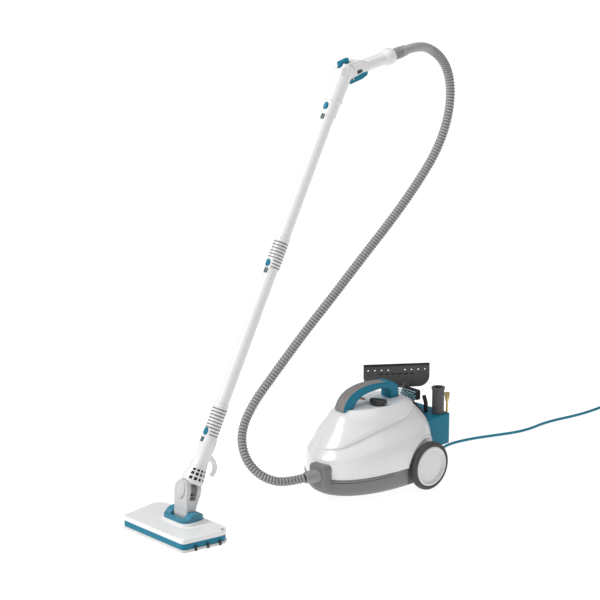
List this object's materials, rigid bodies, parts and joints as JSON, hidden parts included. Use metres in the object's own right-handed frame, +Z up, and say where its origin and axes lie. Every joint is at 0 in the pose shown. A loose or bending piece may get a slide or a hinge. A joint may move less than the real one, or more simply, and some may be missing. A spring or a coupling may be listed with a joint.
{
  "type": "canister steam cleaner",
  "caption": "Canister steam cleaner on wheels with carry handle, tool caddy, corrugated hose, trigger wand and hinged floor head.",
  "frame": {"origin": "bottom centre of the bounding box of the machine without its cords and hose", "axes": "+Z up, nose of the canister and floor head towards -Y, +X to the machine's left side"},
  "size_m": [0.3093, 1.5255, 1.0081],
  "materials": {
    "white_plastic": "glossy moulded",
    "base_grey": "fine grain",
    "dark_plastic": "fine grain",
    "teal_plastic": "satin moulded",
    "grip_rubber": "soft touch",
    "amber_lens": "tinted clear",
    "tyre_rubber": "moulded",
    "boiler_aluminium": "cast",
    "steel": "turned",
    "brass": "turned",
    "hose_grey": "ribbed",
    "cord_teal": "smooth",
    "fork_grey": "satin moulded",
    "pad_cloth": "looped microfibre",
    "elastic": "woven elastic",
    "blade_rubber": "smooth",
    "bristle_teal": "bristle"
  },
  "bodies": {
    "canister": {"upper_casing": "white_plastic", "base_tray": "base_grey", "rear_panel": "dark_plastic", "hose_panel": "base_grey", "canister_cuff": "base_grey", "boiler": "boiler_aluminium", "filler_neck": "dark_plastic", "heating_element": "steel", "thermostat": "dark_plastic", "steam_valve": "brass", "steam_pipe": "dark_plastic", "indicator_lens": "amber_lens", "grip_insert": "grip_rubber", "carry_handle": "teal_plastic", "rear_axle": "steel", "tool_caddy": "teal_plastic", "steam_hose": "hose_grey", "handle_cuff": "hose_grey", "power_cord": "cord_teal", "cord_relief": "teal_plastic", "cord_coil": "cord_teal", "mains_plug": "cord_teal", "casing_screws": "steel"},
    "wheel_left": {"wheel_disc_left": "white_plastic", "tyre_left": "tyre_rubber"},
    "wheel_right": {"wheel_disc_right": "white_plastic", "tyre_right": "tyre_rubber"},
    "caster": {"caster_fork": "base_grey"},
    "caster_roller": {"caster_wheel": "tyre_rubber"},
    "cap": {"safety_cap": "dark_plastic"},
    "squeegee": {"squeegee_plate": "dark_plastic", "squeegee_blade": "blade_rubber"},
    "scrub_brush": {"brush_block": "dark_plastic", "brush_bristles": "bristle_teal"},
    "nozzle": {"bent_nozzle": "dark_plastic"},
    "steam_lance": {"lance": "dark_plastic"},
    "detail_brush": {"brass_brush": "brass"},
    "wand": {"wand_neck": "white_plastic", "low_collar": "white_plastic", "mid_collar": "white_plastic", "lower_tube": "white_plastic", "upper_tube": "white_plastic", "steam_conduit": "dark_plastic", "gun_shell_left": "white_plastic", "gun_shell_right": "white_plastic", "trigger_pin": "steel"},
    "trigger_lever": {"trigger": "teal_plastic"},
    "lock": {"lock_slider": "dark_plastic"},
    "boost_button": {"steam_button": "teal_plastic"},
    "low_release": {"low_tube_button": "teal_plastic"},
    "mid_release": {"mid_tube_button": "teal_plastic"},
    "top_release": {"top_tube_button": "teal_plastic"},
    "fork": {"joint_fork": "fork_grey", "roll_pin": "fork_grey"},
    "head": {"pitch_pin": "steel", "head_plate": "white_plastic", "head_collar": "teal_plastic", "head_rim": "teal_plastic", "floor_pad": "pad_cloth", "pad_clips": "elastic"}
  },
  "joints": [
    {"name": "wheel_left_roll", "type": "hinge", "parent": "canister", "child": "wheel_left", "pos_m": [0.1427, 0.269, 0.057], "axis": [1, 0, 0], "continuous": true},
    {"name": "wheel_right_roll", "type": "hinge", "parent": "canister", "child": "wheel_right", "pos_m": [-0.1013, 0.269, 0.057], "axis": [1, 0, 0], "continuous": true},
    {"name": "caster_swivel", "type": "hinge", "parent": "canister", "child": "caster", "pos_m": [0.0207, 0.071, 0.03], "axis": [0, 0, 1], "continuous": true},
    {"name": "caster_roll", "type": "hinge", "parent": "caster", "child": "caster_roller", "pos_m": [0.0207, 0.079, 0.011], "axis": [1, 0, 0], "continuous": true},
    {"name": "cap_turn", "type": "hinge", "parent": "canister", "child": "cap", "pos_m": [0.0507, 0.193, 0.2], "axis": [0, 0, 1], "range_deg": [0, 90]},
    {"name": "squeegee_lift", "type": "slide", "parent": "canister", "child": "squeegee", "axis": [0, 0, 1], "range_m": [0, 0.04]},
    {"name": "brush_lift", "type": "slide", "parent": "canister", "child": "scrub_brush", "axis": [0, 0, 1], "range_m": [0, 0.03]},
    {"name": "nozzle_lift", "type": "slide", "parent": "canister", "child": "nozzle", "axis": [0, 0, 1], "range_m": [0, 0.03]},
    {"name": "lance_lift", "type": "slide", "parent": "canister", "child": "steam_lance", "axis": [0, 0, 1], "range_m": [0, 0.03]},
    {"name": "brass_brush_lift", "type": "slide", "parent": "canister", "child": "detail_brush", "axis": [0, 0, 1], "range_m": [0, 0.03]},
    {"name": "wand_swivel", "type": "hinge", "parent": "canister", "child": "wand", "pos_m": [-0.0273, 0.302, 0.98555], "axis": [0, 0.9866, 0.1633], "continuous": true},
    {"name": "trigger_pull", "type": "hinge", "parent": "wand", "child": "trigger_lever", "pos_m": [-0.0273, 0.17, 0.948], "axis": [1, 0, 0], "range_deg": [0, 8], "stiffness_Nm_per_rad": 0.8},
    {"name": "lock_slide", "type": "slide", "parent": "wand", "child": "lock", "axis": [0, 0.9866, 0.1633], "range_m": [0, 0.004]},
    {"name": "steam_press", "type": "slide", "parent": "wand", "child": "boost_button", "axis": [0, 0.2419, -0.9703], "range_m": [0, 0.0025], "stiffness_N_per_m": 500},
    {"name": "low_release_press", "type": "slide", "parent": "wand", "child": "low_release", "axis": [0, 0.8842, -0.4672], "range_m": [0, 0.0018], "stiffness_N_per_m": 500},
    {"name": "mid_release_press", "type": "slide", "parent": "wand", "child": "mid_release", "axis": [0, 0.8842, -0.4672], "range_m": [0, 0.0018], "stiffness_N_per_m": 500},
    {"name": "top_release_press", "type": "slide", "parent": "wand", "child": "top_release", "axis": [0, 0.8842, -0.4672], "range_m": [0, 0.0018], "stiffness_N_per_m": 500},
    {"name": "wand_roll", "type": "hinge", "parent": "wand", "child": "fork", "pos_m": [-0.0273, -0.312, 0.098], "axis": [0, -0.9781, 0.2079], "range_deg": [-35, 35]},
    {"name": "head_pitch", "type": "hinge", "parent": "fork", "child": "head", "pos_m": [-0.0273, -0.32364, 0.04322], "axis": [1, 0, 0], "range_deg": [-27, 38]}
  ]
}
